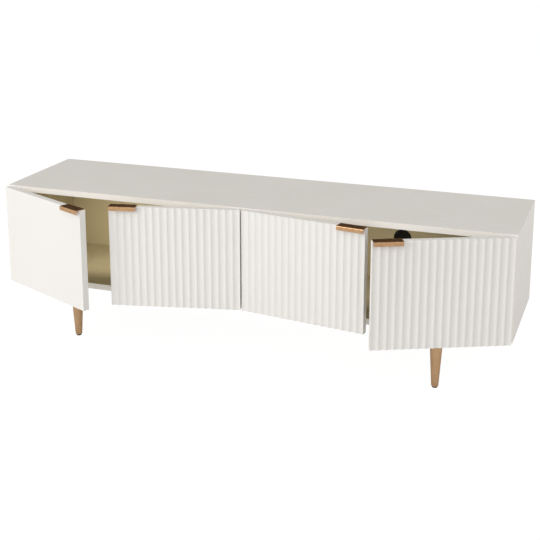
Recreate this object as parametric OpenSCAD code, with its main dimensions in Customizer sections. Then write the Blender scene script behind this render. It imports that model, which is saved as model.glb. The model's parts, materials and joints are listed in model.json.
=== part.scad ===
// Low media console with four full-overlay hinged doors, folded metal edge pulls
// and four round tapered legs. Millimetres, +Z up, +Y towards the back.
// Origin: on the floor, under the centre of the cabinet body.

/* [Cabinet body] */
// Width of the cabinet body, left to right
body_w = 1600; // [1300:10:2000]
// Depth of the cabinet body, without the doors
body_d = 380; // [310:5:480]
// Height of the cabinet body, without the legs
body_h = 315; // [260:5:400]
// Thickness of the top, bottom, sides and partition
panel_t = 18; // [16:1:24]
// Thickness of the back panel
back_t = 6; // [4:1:9]
// Distance of the back panel from the rear edges
back_inset = 10; // [6:1:20]
// Depth of the groove that holds the back panel
groove_depth = 6; // [4:1:8]
// Play of the back panel in its groove, each side
back_fit = 0.3; // [0.1:0.1:0.6]

/* [Doors] */
// Thickness of a door, over the crests of its flutes
door_t = 20; // [19:1:26]
// Gap between a closed door and the cabinet's front edges
door_gap = 3.5; // [3.5:0.5:6]
// Gap from a door's hinge edge to the cabinet's side or middle line
hinge_reveal = 4; // [4:0.5:8]
// Half of the gap between the free edges of two neighbouring doors
meeting_reveal = 1.5; // [1:0.5:4]
// Distance of the door tops below the top surface
top_reveal = 2.5; // [2.5:0.5:6]
// Distance of the door bottoms above the underside of the cabinet
bottom_reveal = 1; // [0:0.5:6]

/* [Flutes] */
// Number of vertical flutes on a door
flute_count = 18; // [8:1:26]
// Depth of a flute
flute_depth = 3; // [1:0.25:3.5]
// Width of the narrow crest between two flutes
crest_w = 2.5; // [1:0.5:6]
// Door 1, at the far left, is fluted
door_1_fluted = false; // [true, false]
// Door 2 is fluted
door_2_fluted = true; // [true, false]
// Door 3 is fluted
door_3_fluted = true; // [true, false]
// Door 4, at the far right, is fluted
door_4_fluted = true; // [true, false]

/* [Pulls] */
// Length of a pull along the door
pull_len = 82; // [50:1:200]
// Distance of a pull from the free edge of its door
pull_inset = 1.5; // [0:0.5:30]
// Thickness of the folded sheet
pull_t = 2; // [1.5:0.5:2.5]
// How far a pull stands out from the door's face
pull_reach = 12; // [10:1:30]
// Height of the front lip, over the fold
lip_h = 12.5; // [10:0.5:30]
// Height of the tab behind the door, over the fold
tab_h = 20; // [16:1:30]
// Inner radius of the folds
fold_r = 1; // [0.5:0.25:2]

/* [Legs] */
// Height of the cabinet's underside above the floor
leg_h = 175; // [100:5:260]
// Radius of a leg at its top
leg_top_r = 21; // [14:0.5:22]
// Radius of a leg at its foot
leg_foot_r = 10.5; // [9:0.5:16]
// Distance of a leg's axis from the cabinet's end
leg_inset_x = 217; // [60:1:320]
// Distance of a leg's axis from the cabinet's front or back edge
leg_inset_y = 25; // [24:1:80]
// Side of the square mounting plate
leg_plate_w = 48; // [46:1:60]
// Thickness of the mounting plate
leg_plate_t = 3; // [2:0.5:5]
// Radius of the hanger bolt that joins a leg to its plate
leg_bolt_r = 4; // [3:0.5:5]
// Length of the hanger bolt inside the leg
leg_bolt_in_leg = 26; // [15:1:40]
// Length of the hanger bolt above the plate
leg_bolt_in_panel = 9; // [4:1:12]
// Radius of the glide under a leg
glide_r = 8; // [6:0.5:9]
// Thickness of the glide under a leg
glide_t = 3; // [2:0.5:6]
// Edge chamfer at the foot of a leg
foot_chamfer = 2; // [0.5:0.5:2]

/* [Hinges] */
// Distance of the upper and lower hinges from the door's ends
hinge_inset = 66; // [60:1:90]
// Radius of a hinge cup
cup_r = 17.5; // [17.5:0.5:19]
// Distance from the door's hinge edge to the wall of the cup's bore
cup_edge = 4; // [3.5:0.5:6]
// Wall of the cup
cup_wall = 1; // [0.8:0.1:1.5]
// Floor of the cup
cup_floor = 0.8; // [0.6:0.1:1.5]
// Thickness of the flange around the cup
flange_t = 1.2; // [1:0.1:1.5]
// Distance of the pin's axis from the door's hinge edge
pin_from_edge = 9; // [8.5:0.25:9.5]
// Distance of the pin's axis from the door's face
pin_from_face = 8; // [7.5:0.25:9]
// Radius of the hinge pin
pin_r = 1.25; // [1:0.05:1.5]
// Radial clearance of the pin in the arm's knuckle
pin_fit = 0.05; // [0.02:0.01:0.1]
// Wall of the arm's knuckle around the pin
knuckle_wall = 0.9; // [0.7:0.1:1]
// Width of the arm
arm_w = 12; // [9:1:13]
// Thickness of the arm
arm_t = 1.8; // [1.2:0.1:2]
// Reach of the arm behind the cabinet's front edges
arm_depth = 62; // [54:1:80]
// Distance of the plate's screws behind the cabinet's front edges
plate_setback = 37; // [30:1:45]
// Distance between the two screws of a plate
plate_screw_gap = 32; // [28:1:40]
// Distance of the arm's screw behind the plate's screws
arm_screw_back = 15; // [13:1:20]

/* [Fasteners and bumpers] */
// Shank radius of the small wood screws
screw_r = 1.75; // [1.5:0.05:2.25]
// Head radius of the small wood screws
screw_head_r = 3.4; // [3:0.1:4]
// Head height of the small wood screws
screw_head_h = 1.8; // [1:0.1:2]
// Radial play of a fastener in its hole
screw_fit = 0.1; // [0.05:0.05:0.3]
// Radius of a cam lock
cam_r = 7.5; // [6:0.5:8]
// Depth of a cam lock in its panel
cam_depth = 12.5; // [11:0.5:14]
// Distance of a cam lock's axis from the end of its panel
cam_setback = 24; // [20:1:34]
// Radius of a cam bolt
cam_bolt_r = 3; // [2.5:0.25:3.5]
// Length of a cam bolt's thread in the top or bottom panel
cam_bolt_thread = 11; // [8:0.5:12]
// Distance of the cam locks from the front and rear edges
cam_from_edge = 62; // [56:1:90]
// Radius of a wooden dowel
dowel_r = 4; // [3:0.5:4]
// Length of a wooden dowel in the top or bottom panel
dowel_in_panel = 10; // [6:1:12]
// Length of a wooden dowel in a side or the partition
dowel_in_side = 20; // [15:1:25]
// Distance of the dowels from the front and rear edges
dowel_from_edge = 112; // [95:1:130]
// Radius of a door bumper
bumper_r = 4; // [3:0.5:6]
// Play between a bumper and the cabinet when its door is closed
bumper_fit = 0.2; // [0.1:0.1:0.5]

/* [Cable outlets] */
// Radius of the liner's rim
rim_r = 28; // [22:1:34]
// Thickness of the liner's rim
rim_t = 1.8; // [1.2:0.2:3]
// Width of the liner's rim, outside the hole in the back panel
rim_w = 3; // [2:0.5:6]
// Wall of the liner's sleeve
liner_wall = 1.6; // [1.2:0.2:2.4]
// Thickness of the snap-in cap
cap_t = 2.4; // [1.6:0.2:3]
// Radius of the cable notch in the cap
notch_r = 9; // [6:0.5:10]
// Play between the cap, the liner and the hole
liner_fit = 0.2; // [0.1:0.05:0.4]

/* [Rest pose] */
// Opening of door 1 as stored
open_1 = 25; // [0:0.1:80]
// Opening of door 2 as stored
open_2 = 13; // [0:0.1:80]
// Opening of door 3 as stored
open_3 = 8.5; // [0:0.1:80]
// Opening of door 4 as stored
open_4 = 25; // [0:0.1:80]

/* [Hidden] */
$fn = 48;
EPS = 0.01;
CUT = 1;

// heights and depths of the cabinet body
top_z = leg_h + body_h;
inner_low_z = leg_h + panel_t;
inner_high_z = top_z - panel_t;
front_y = -body_d / 2;
rear_y = body_d / 2;
back_y = rear_y - back_inset - back_t;
partition_d = back_y - back_fit - front_y;
side_x = body_w / 2 - panel_t / 2;

// doors
door_w = body_w / 4 - hinge_reveal - meeting_reveal;
door_h = body_h - top_reveal - bottom_reveal;
door_z = leg_h + bottom_reveal;
pin_to_back = door_t - pin_from_face;
pin_y = front_y - door_gap - pin_to_back;
free_x = door_w - pin_from_edge;
flute_pitch = door_w / flute_count;
flute_chord = flute_pitch - crest_w;
flute_r = (flute_chord * flute_chord / 4 + flute_depth * flute_depth) / (2 * flute_depth);

// each door: pin axis across the cabinet, side of its free edge, opening, fluted or not
pin_x_outer = body_w / 2 - hinge_reveal - pin_from_edge;
pin_x_inner = hinge_reveal + pin_from_edge;
pin_x = [-pin_x_outer, -pin_x_inner, pin_x_inner, pin_x_outer];
free_side = [1, -1, 1, -1];
opening = [open_1, open_2, open_3, open_4];
fluted = [door_1_fluted, door_2_fluted, door_3_fluted, door_4_fluted];
// distance from the pin's axis to the panel that carries the hinge
outer_offset = panel_t - hinge_reveal - pin_from_edge;
inner_offset = panel_t / 2 - hinge_reveal - pin_from_edge;
panel_offset = [outer_offset, inner_offset, inner_offset, outer_offset];
inner_drop = outer_offset - inner_offset;
rail_drop = [0, inner_drop, inner_drop, 0];

// hinge, in the door's frame: pin at the origin, +X to the free edge, +Y to the cabinet
cup_x = cup_edge + cup_r - pin_from_edge;
knuckle_r = pin_r + pin_fit + knuckle_wall;
knuckle_play = 0.4;
cup_low_y = -knuckle_r - knuckle_play - cup_floor;
cup_inner_r = cup_r - cup_wall;
arm_play = 0.5;
flange_corner_x = cup_x - cup_r;
flange_reach = pin_to_back + flange_t;
arm_x = sqrt(flange_corner_x * flange_corner_x + flange_reach * flange_reach) + arm_play;
front_from_pin = pin_to_back + door_gap;
hinge_z = [hinge_inset, door_h - hinge_inset];
pin_chord_x = cup_x + pin_r;
pin_half = sqrt(cup_r * cup_r - pin_chord_x * pin_chord_x) - 0.3;
flange_screw_x = cup_x + 9.5;
flange_screw_z = 24;
flange_ear_r = 5.5;
plate_t = 2.5;
plate_wing = plate_screw_gap / 2 + 7;
plate_half_y = 8;
rail_half = arm_w / 2 + 0.5;
rail_start = 18;
crank_y = front_from_pin + 7;
plate_screw_in = panel_t / 2 - 1.5;
arm_screw_r = 3;
hole_spare = 0.5;
arm_screw_in = arm_x - outer_offset - hole_spare - 1;
cup_screw_in = 9;

// pulls
pull_x = free_x - pull_inset - pull_len;
pull_front_y = -pin_from_face - pull_reach;
pull_back_y = pin_to_back + pull_t;
pull_screw_z = door_h - tab_h / 2 - 2;
pull_screw_in = 11;
pull_screw_end = 16;
relief = fold_r + 0.2;
relief_play = 0.5;

// legs
leg_x = body_w / 2 - leg_inset_x;
leg_y = body_d / 2 - leg_inset_y;
leg_top_z = leg_h - leg_plate_t;
plate_screw_pos = leg_plate_w / 2 - 5;
leg_screw_in = 12;
stem_r = 1.5;
stem_len = 8;

// connectors inside the panels
cam_y = [front_y + cam_from_edge, rear_y - cam_from_edge];
dowel_y = [front_y + dowel_from_edge, rear_y - dowel_from_edge];
post_x = [-side_x, 0, side_x];
cam_head_play = 1.2;

// cable outlets
hole_r = rim_r - rim_w;
sleeve_r = hole_r - liner_fit;
sleeve_inner_r = sleeve_r - liner_wall;
cap_r = sleeve_inner_r - liner_fit;
outlet_x = body_w / 4;
outlet_z = leg_h + body_h / 2;
notch_drop = cap_r - notch_r / 2;

// colours
lacquer = [0.93, 0.92, 0.89];
brass = [0.72, 0.56, 0.40];
pull_metal = [0.70, 0.52, 0.37];
steel = [0.72, 0.72, 0.72];
dark = [0.08, 0.07, 0.06];
lining = [0.62, 0.57, 0.44];
beech = [0.80, 0.66, 0.47];
clear_rubber = [0.85, 0.85, 0.82];

// ---- helpers -------------------------------------------------------------------------

// a box given by two opposite corners
module block(low, high) {
    translate(low) cube(high - low);
}

// a cylinder along +Y or +X, starting at the local origin
module rod_y(r, len) {
    rotate([-90, 0, 0]) cylinder(r = r, h = len);
}
module rod_x(r, len) {
    rotate([0, 90, 0]) cylinder(r = r, h = len);
}

// puts a piece drawn in a door's frame on its hinge line, closed
module on_hinge_line(i) {
    translate([pin_x[i], pin_y, door_z]) {
        if (free_side[i] > 0) children();
        else mirror([1, 0, 0]) children();
    }
}

// the same, with the door at its stored opening
module on_door(i) {
    translate([pin_x[i], pin_y, door_z]) rotate([0, 0, -free_side[i] * opening[i]]) {
        if (free_side[i] > 0) children();
        else mirror([1, 0, 0]) children();
    }
}

// once for each of the four legs
module at_legs() {
    for (sx = [-1, 1], sy = [-1, 1]) translate([sx * leg_x, sy * leg_y, 0]) children();
}

// once for each place where an upright panel meets the top or the bottom panel,
// with +Z pointing from the joint into the upright
module at_joints(places_y) {
    for (x = post_x, y = places_y) {
        translate([x, y, inner_low_z]) children();
        translate([x, y, inner_high_z]) mirror([0, 0, 1]) children();
    }
}

// ---- cabinet body --------------------------------------------------------------------

// the slot that the back panel's edges stand in, as one block through all panels
module back_slot() {
    low = [-body_w / 2 + panel_t - groove_depth, back_y - back_fit, inner_low_z - groove_depth];
    high = [body_w / 2 - panel_t + groove_depth, back_y + back_t + back_fit, inner_high_z + groove_depth];
    block(low, high);
}

// holes for the fittings that join the uprights to the top and the bottom
module joint_holes() {
    at_joints(cam_y) {
        translate([0, 0, -cam_bolt_thread - hole_spare])
            cylinder(r = cam_bolt_r + screw_fit, h = cam_bolt_thread + hole_spare + cam_setback);
    }
    at_joints(dowel_y) {
        translate([0, 0, -dowel_in_panel - hole_spare])
            cylinder(r = dowel_r + screw_fit, h = dowel_in_panel + dowel_in_side + 2 * hole_spare);
    }
}

// pockets for the cam locks, open to the side given by face: -1 left, +1 right
module cam_pockets(x, face) {
    for (y = cam_y, z = [inner_low_z + cam_setback, inner_high_z - cam_setback]) {
        translate([x + face * (panel_t / 2 - cam_depth), y, z])
            rotate([0, face * 90, 0]) cylinder(r = cam_r + screw_fit, h = cam_depth + CUT);
    }
}

module top_panel() {
    color(lacquer) difference() {
        block([-body_w / 2, front_y, inner_high_z], [body_w / 2, rear_y, top_z]);
        back_slot();
        joint_holes();
    }
}

module bottom_panel() {
    color(lacquer) difference() {
        block([-body_w / 2, front_y, leg_h], [body_w / 2, rear_y, inner_low_z]);
        back_slot();
        joint_holes();
        at_legs() translate([0, 0, leg_h - CUT])
            cylinder(r = leg_bolt_r + screw_fit, h = leg_bolt_in_panel + CUT + hole_spare);
        at_leg_screws() translate([0, 0, leg_h - CUT])
            cylinder(r = screw_r + screw_fit, h = leg_screw_in + CUT + hole_spare);
    }
}

// an upright side panel: side -1 left, +1 right; its cam locks open inwards
module side_panel(side) {
    i = side < 0 ? 0 : 3;
    color(lacquer) difference() {
        translate([side * side_x, 0, 0])
            block([-panel_t / 2, front_y, inner_low_z], [panel_t / 2, rear_y, inner_high_z]);
        back_slot();
        joint_holes();
        cam_pockets(side * side_x, -side);
        plate_screw_holes(i);
    }
}

module left_side_panel() {
    side_panel(-1);
}
module right_side_panel() {
    side_panel(1);
}

module centre_partition() {
    color(lacquer) difference() {
        block([-panel_t / 2, front_y, inner_low_z], [panel_t / 2, front_y + partition_d, inner_high_z]);
        joint_holes();
        cam_pockets(0, -1);
        plate_screw_holes(1);
        plate_screw_holes(2);
    }
}

// one sheet behind both compartments, held in the grooves all round
module back_panel() {
    edge_x = body_w / 2 - panel_t + groove_depth - back_fit;
    low = [-edge_x, back_y, inner_low_z - groove_depth + back_fit];
    high = [edge_x, back_y + back_t, inner_high_z + groove_depth - back_fit];
    color(lining) difference() {
        block(low, high);
        for (side = [-1, 1]) translate([side * outlet_x, back_y - CUT, outlet_z])
            rod_y(hole_r, back_t + 2 * CUT);
    }
}

// ---- cable outlets -------------------------------------------------------------------

// flanged sleeve: the rim lies on the front of the back panel
module cable_liner(side) {
    color(dark) translate([side * outlet_x, back_y, outlet_z]) difference() {
        union() {
            translate([0, -rim_t, 0]) rod_y(rim_r, rim_t);
            rod_y(sleeve_r, back_t + 1);
        }
        translate([0, -rim_t - CUT, 0]) rod_y(sleeve_inner_r, back_t + rim_t + 2 * CUT + 1);
    }
}

// snap-in disc with a round notch at the bottom, where the cables pass
module cable_cap(side) {
    color(dark) translate([side * outlet_x, back_y - rim_t, outlet_z]) difference() {
        rod_y(cap_r, cap_t);
        translate([0, -CUT, -notch_drop]) rod_y(notch_r, cap_t + 2 * CUT);
    }
}

module cable_liner_left() {
    cable_liner(-1);
}
module cable_liner_right() {
    cable_liner(1);
}
module cable_cap_left() {
    cable_cap(-1);
}
module cable_cap_right() {
    cable_cap(1);
}

// ---- legs ----------------------------------------------------------------------------

// turned leg with a bolt hole at the top and a nail hole at the foot
module leg(sx, sy) {
    color(brass) translate([sx * leg_x, sy * leg_y, 0]) difference() {
        rotate_extrude($fn = 96) polygon([
            [0, glide_t],
            [leg_foot_r - foot_chamfer, glide_t],
            [leg_foot_r, glide_t + foot_chamfer],
            [leg_top_r, leg_top_z],
            [0, leg_top_z]
        ]);
        translate([0, 0, leg_top_z - leg_bolt_in_leg - hole_spare])
            cylinder(r = leg_bolt_r + screw_fit, h = leg_bolt_in_leg + hole_spare + CUT);
        translate([0, 0, glide_t - CUT]) cylinder(r = stem_r + screw_fit, h = stem_len + CUT + hole_spare);
    }
}

module leg_front_left() {
    leg(-1, -1);
}
module leg_front_right() {
    leg(1, -1);
}
module leg_rear_left() {
    leg(-1, 1);
}
module leg_rear_right() {
    leg(1, 1);
}

module at_leg_screws() {
    at_legs() for (sx = [-1, 1], sy = [-1, 1])
        translate([sx * plate_screw_pos, sy * plate_screw_pos, 0]) children();
}

module leg_plates() {
    color(steel) difference() {
        at_legs() translate([-leg_plate_w / 2, -leg_plate_w / 2, leg_top_z])
            cube([leg_plate_w, leg_plate_w, leg_plate_t]);
        at_legs() translate([0, 0, leg_top_z - CUT])
            cylinder(r = leg_bolt_r + screw_fit, h = leg_plate_t + 2 * CUT);
        at_leg_screws() translate([0, 0, leg_top_z - CUT])
            cylinder(r = screw_r + screw_fit, h = leg_plate_t + 2 * CUT);
    }
}

module leg_plate_screws() {
    color(steel) at_leg_screws() {
        translate([0, 0, leg_top_z - screw_head_h]) cylinder(r = screw_head_r, h = screw_head_h);
        translate([0, 0, leg_top_z]) cylinder(r = screw_r, h = leg_plate_t + leg_screw_in);
    }
}

module leg_hanger_bolts() {
    color(steel) at_legs() translate([0, 0, leg_top_z - leg_bolt_in_leg])
        cylinder(r = leg_bolt_r, h = leg_bolt_in_leg + leg_plate_t + leg_bolt_in_panel);
}

module leg_glides() {
    color(dark) at_legs() {
        cylinder(r = glide_r, h = glide_t);
        cylinder(r = stem_r, h = glide_t + stem_len);
    }
}

// ---- panel connectors ----------------------------------------------------------------

module cam_bolts() {
    color(steel) at_joints(cam_y) {
        translate([0, 0, -cam_bolt_thread])
            cylinder(r = cam_bolt_r, h = cam_bolt_thread + cam_setback - cam_head_play);
    }
}

// discs slotted for the bolts; the side panels' open inwards, the partition's to the left
module cam_locks() {
    cam_pair(-side_x, 1);
    cam_pair(0, -1);
    cam_pair(side_x, -1);
}

module cam_pair(x, face) {
    color(steel) difference() {
        for (y = cam_y, z = [inner_low_z + cam_setback, inner_high_z - cam_setback]) {
            translate([x + face * (panel_t / 2 - cam_depth), y, z])
                rotate([0, face * 90, 0]) cylinder(r = cam_r, h = cam_depth - hole_spare);
        }
        at_joints(cam_y) cylinder(r = cam_bolt_r + screw_fit, h = cam_setback);
    }
}

module dowels() {
    color(beech) at_joints(dowel_y) {
        translate([0, 0, -dowel_in_panel]) cylinder(r = dowel_r, h = dowel_in_panel + dowel_in_side);
    }
}

// ---- hinges, the half on the cabinet -------------------------------------------------

// places of the plate screws, as +X holes in the panel's face, in the door's frame
module at_plate_screws(i) {
    for (z = hinge_z, side = [-1, 1]) {
        translate([panel_offset[i], front_from_pin + plate_setback, z + side * plate_screw_gap / 2])
            children();
    }
}

module plate_screw_holes(i) {
    on_hinge_line(i) at_plate_screws(i) translate([-plate_screw_in - hole_spare, 0, 0])
        rod_x(screw_r + screw_fit, plate_screw_in + hole_spare + CUT);
}

// the arm's screw, on the rail of the plate
module at_arm_screws(i) {
    for (z = hinge_z) {
        translate([arm_x - rail_drop[i], front_from_pin + plate_setback + arm_screw_back, z]) children();
    }
}

// winged plate with a rail that carries the arm
module hinge_plates(i) {
    mid_y = front_from_pin + plate_setback;
    x0 = panel_offset[i];
    color(steel) on_hinge_line(i) difference() {
        for (z = hinge_z) {
            block([x0, mid_y - plate_half_y, z - plate_wing],
                [x0 + plate_t, mid_y + plate_half_y, z + plate_wing]);
            block([x0, front_from_pin + rail_start, z - rail_half],
                [arm_x - rail_drop[i], front_from_pin + arm_depth, z + rail_half]);
        }
        at_plate_screws(i) translate([-CUT, 0, 0]) rod_x(screw_r + screw_fit, plate_t + 2 * CUT);
        at_arm_screws(i) translate([-arm_screw_in - hole_spare, 0, 0])
            rod_x(arm_screw_r + screw_fit, arm_screw_in + hole_spare + CUT);
    }
}

// cranked strip: knuckle on the pin, across inside the cup, back into the cabinet,
// over to the rail where the rail lies nearer the hinge line, and back along it
module hinge_arms(i) {
    rail_x = arm_x - rail_drop[i];
    rail_len = front_from_pin + arm_depth - crank_y;
    color(steel) on_hinge_line(i) difference() {
        for (z = hinge_z) translate([0, 0, z - arm_w / 2]) {
            cylinder(r = knuckle_r, h = arm_w);
            translate([0, -arm_t / 2, 0]) cube([arm_x + arm_t, arm_t, arm_w]);
            translate([arm_x, -arm_t / 2, 0]) cube([arm_t, crank_y + arm_t * 3 / 2, arm_w]);
            translate([rail_x, crank_y, 0]) cube([rail_drop[i] + arm_t, arm_t, arm_w]);
            translate([rail_x, crank_y, 0]) cube([arm_t, rail_len, arm_w]);
        }
        for (z = hinge_z) translate([0, 0, z - arm_w / 2 - CUT])
            cylinder(r = pin_r + pin_fit, h = arm_w + 2 * CUT);
        at_arm_screws(i) translate([-CUT, 0, 0]) rod_x(arm_screw_r + screw_fit, arm_t + 2 * CUT);
    }
}

module hinge_plate_screws() {
    color(steel) for (i = [0 : 3]) on_hinge_line(i) at_plate_screws(i) {
        translate([plate_t, 0, 0]) rod_x(screw_head_r, screw_head_h);
        translate([-plate_screw_in, 0, 0]) rod_x(screw_r, plate_screw_in + plate_t);
    }
}

module hinge_arm_screws() {
    color(steel) for (i = [0 : 3]) on_hinge_line(i) at_arm_screws(i) {
        translate([arm_t, 0, 0]) rod_x(arm_screw_r + 1.5, screw_head_h);
        translate([-arm_screw_in, 0, 0]) rod_x(arm_screw_r, arm_screw_in + arm_t);
    }
}

// ---- doors ---------------------------------------------------------------------------

// outline of a door from above, with concave flutes between narrow crests
module door_outline(has_flutes) {
    difference() {
        translate([-pin_from_edge, -pin_from_face]) square([door_w, door_t]);
        if (has_flutes) {
            for (k = [0 : flute_count - 1]) {
                translate([
                    -pin_from_edge + (k + 0.5) * flute_pitch,
                    -pin_from_face + flute_depth - flute_r
                ]) circle(r = flute_r, $fn = 96);
            }
        }
    }
}

// places of a door's cup screws, as -Y holes in its inner face
module at_cup_screws() {
    for (z = hinge_z, side = [-1, 1]) {
        translate([flange_screw_x, pin_to_back, z + side * flange_screw_z]) children();
    }
}

// places of the pull's screws, on the inner face
module at_pull_screws() {
    for (x = [pull_x + pull_screw_end, pull_x + pull_len - pull_screw_end]) {
        translate([x, pin_to_back, pull_screw_z]) children();
    }
}

// chamfer of the door's back top arris, which clears the pull's inner fold
module fold_relief() {
    translate([pull_x - relief_play, 0, 0]) rotate([90, 0, 90])
        linear_extrude(height = pull_len + 2 * relief_play)
            polygon([
                [pin_to_back + CUT, door_h + CUT],
                [pin_to_back - relief - CUT, door_h + CUT],
                [pin_to_back + CUT, door_h - relief - CUT]
            ]);
}

module door_panel(i) {
    color(lacquer) on_door(i) difference() {
        linear_extrude(height = door_h) door_outline(fluted[i]);
        fold_relief();
        for (z = hinge_z) translate([cup_x, cup_low_y, z])
            rod_y(cup_r + screw_fit, pin_to_back - cup_low_y + CUT);
        at_cup_screws() translate([0, -cup_screw_in - hole_spare, 0])
            rod_y(screw_r + screw_fit, cup_screw_in + hole_spare + CUT);
        at_pull_screws() translate([0, -pull_screw_in - hole_spare, 0])
            rod_y(screw_r + screw_fit, pull_screw_in + hole_spare + CUT);
    }
}

// section of a pull: lip in front, plate over the door's top edge, tab behind the door
module pull_section() {
    outer_r = fold_r + pull_t;
    plate_z = door_h;
    difference() {
        union() {
            translate([pull_front_y + outer_r, plate_z])
                square([pull_back_y - pull_front_y - 2 * outer_r, pull_t]);
            translate([pull_front_y, plate_z + pull_t - lip_h]) square([pull_t, lip_h - outer_r]);
            translate([pull_back_y - pull_t, plate_z + pull_t - tab_h]) square([pull_t, tab_h - outer_r]);
            translate([pull_front_y + outer_r, plate_z + pull_t - outer_r]) circle(r = outer_r);
            translate([pull_back_y - outer_r, plate_z + pull_t - outer_r]) circle(r = outer_r);
        }
        translate([pull_front_y + pull_t, plate_z - lip_h - tab_h])
            square([pull_back_y - pull_front_y - 2 * pull_t, lip_h + tab_h - fold_r]);
        translate([pull_front_y + outer_r, plate_z - lip_h - tab_h])
            square([pull_back_y - pull_front_y - 2 * outer_r, lip_h + tab_h]);
        translate([pull_front_y + outer_r, plate_z - fold_r]) circle(r = fold_r);
        translate([pull_back_y - outer_r, plate_z - fold_r]) circle(r = fold_r);
    }
}

module door_pull(i) {
    color(pull_metal) on_door(i) difference() {
        translate([pull_x, 0, 0]) rotate([90, 0, 90]) linear_extrude(height = pull_len) pull_section();
        at_pull_screws() translate([0, -CUT, 0]) rod_y(screw_r + screw_fit, pull_t + 2 * CUT);
        at_pull_screws() countersink(screw_fit);
    }
}

// cone from the shank to the head, its flat side flush with the tab
module countersink(play) {
    rotate([-90, 0, 0]) cylinder(r1 = screw_r + play, r2 = screw_head_r + play, h = pull_t + EPS);
}

module pull_screws(i) {
    color(steel) on_door(i) at_pull_screws() {
        rotate([-90, 0, 0]) cylinder(r1 = screw_r, r2 = screw_head_r, h = pull_t);
        translate([0, -pull_screw_in, 0]) rod_y(screw_r, pull_screw_in);
    }
}

// round cup with a flange and two screw ears
module hinge_cups(i) {
    floor_y = cup_low_y + cup_floor;
    color(steel) on_door(i) difference() {
        for (z = hinge_z) {
            translate([cup_x, cup_low_y, z]) rod_y(cup_r, pin_to_back - cup_low_y);
            translate([cup_x, pin_to_back, z]) rod_y(cup_r, flange_t);
            translate([flange_screw_x - flange_ear_r, pin_to_back, z - flange_screw_z])
                cube([2 * flange_ear_r, flange_t, 2 * flange_screw_z]);
            for (side = [-1, 1]) translate([flange_screw_x, pin_to_back, z + side * flange_screw_z])
                rod_y(flange_ear_r, flange_t);
        }
        for (z = hinge_z) {
            translate([cup_x, floor_y, z]) rod_y(cup_inner_r, pin_to_back + flange_t - floor_y + CUT);
            translate([0, 0, z - pin_half]) cylinder(r = pin_r, h = 2 * pin_half);
        }
        at_cup_screws() translate([0, -CUT, 0]) rod_y(screw_r + screw_fit, flange_t + 2 * CUT);
    }
}

module hinge_pins(i) {
    color(steel) on_door(i) for (z = hinge_z) {
        translate([0, 0, z - pin_half]) cylinder(r = pin_r, h = 2 * pin_half);
    }
}

module cup_screws(i) {
    color(steel) on_door(i) at_cup_screws() {
        translate([0, flange_t, 0]) rod_y(screw_head_r, screw_head_h);
        translate([0, -cup_screw_in, 0]) rod_y(screw_r, cup_screw_in + flange_t);
    }
}

// soft dots that meet the front edges of the top and the bottom panel
module bumpers(i) {
    low_z = panel_t / 2 - bottom_reveal;
    high_z = body_h - panel_t / 2 - bottom_reveal;
    clear_of_pull = pull_x - 3 * bumper_r;
    near_edge = free_x - 3 * bumper_r;
    color(clear_rubber) on_door(i) {
        translate([near_edge, pin_to_back, low_z]) rod_y(bumper_r, door_gap - bumper_fit);
        translate([clear_of_pull, pin_to_back, high_z]) rod_y(bumper_r, door_gap - bumper_fit);
    }
}

// ---- drawing -------------------------------------------------------------------------

top_panel();
bottom_panel();
left_side_panel();
right_side_panel();
centre_partition();
back_panel();
cable_liner_left();
cable_liner_right();
cable_cap_left();
cable_cap_right();
leg_front_left();
leg_front_right();
leg_rear_left();
leg_rear_right();
leg_plates();
leg_plate_screws();
leg_hanger_bolts();
leg_glides();
cam_bolts();
cam_locks();
dowels();
hinge_plate_screws();
hinge_arm_screws();
for (i = [0 : 3]) {
    hinge_arms(i);
    hinge_plates(i);
    door_panel(i);
    door_pull(i);
    pull_screws(i);
    hinge_cups(i);
    hinge_pins(i);
    cup_screws(i);
    bumpers(i);
}
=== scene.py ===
# %% [markdown]
# # A low media console with four doors
#
# This lesson dresses a finished CAD model of a low, lacquered media console. The CAD model
# already holds every board, hinge, screw and leg at its real size. Our work is what the eye
# wants: soft edges, lacquer, khaki lining, satin brass, plated steel, and a studio around it.
#
# We begin by loading the CAD model. Its parts never move and never change size here.

# %% Load the cabinet
import json
import math

import bmesh
import bpy
from mathutils import Matrix, Vector


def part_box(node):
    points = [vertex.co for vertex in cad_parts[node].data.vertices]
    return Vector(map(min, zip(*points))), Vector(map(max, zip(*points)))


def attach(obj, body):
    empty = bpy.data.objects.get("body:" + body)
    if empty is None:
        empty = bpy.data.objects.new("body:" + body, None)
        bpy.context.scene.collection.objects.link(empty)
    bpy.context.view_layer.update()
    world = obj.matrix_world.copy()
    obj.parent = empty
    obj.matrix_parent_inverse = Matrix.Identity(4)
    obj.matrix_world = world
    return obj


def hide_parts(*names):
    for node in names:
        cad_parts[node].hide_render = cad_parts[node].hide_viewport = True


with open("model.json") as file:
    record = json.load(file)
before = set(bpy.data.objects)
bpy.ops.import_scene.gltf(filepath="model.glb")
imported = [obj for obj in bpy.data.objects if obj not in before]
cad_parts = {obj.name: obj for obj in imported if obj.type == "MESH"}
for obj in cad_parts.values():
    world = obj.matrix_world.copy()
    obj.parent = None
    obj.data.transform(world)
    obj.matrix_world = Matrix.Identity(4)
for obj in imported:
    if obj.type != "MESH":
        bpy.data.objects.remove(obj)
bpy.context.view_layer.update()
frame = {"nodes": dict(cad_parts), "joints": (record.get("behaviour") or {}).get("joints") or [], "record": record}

nodes = frame["nodes"]

# %% [markdown]
# ## Measuring what we were given
#
# A good fitter measures before cutting. Every place used later is read from the CAD model:
# the boards give the size of the box, and each door's pin gives its hinge line. We keep
# the few numbers that return again and again under plain names.

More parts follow.
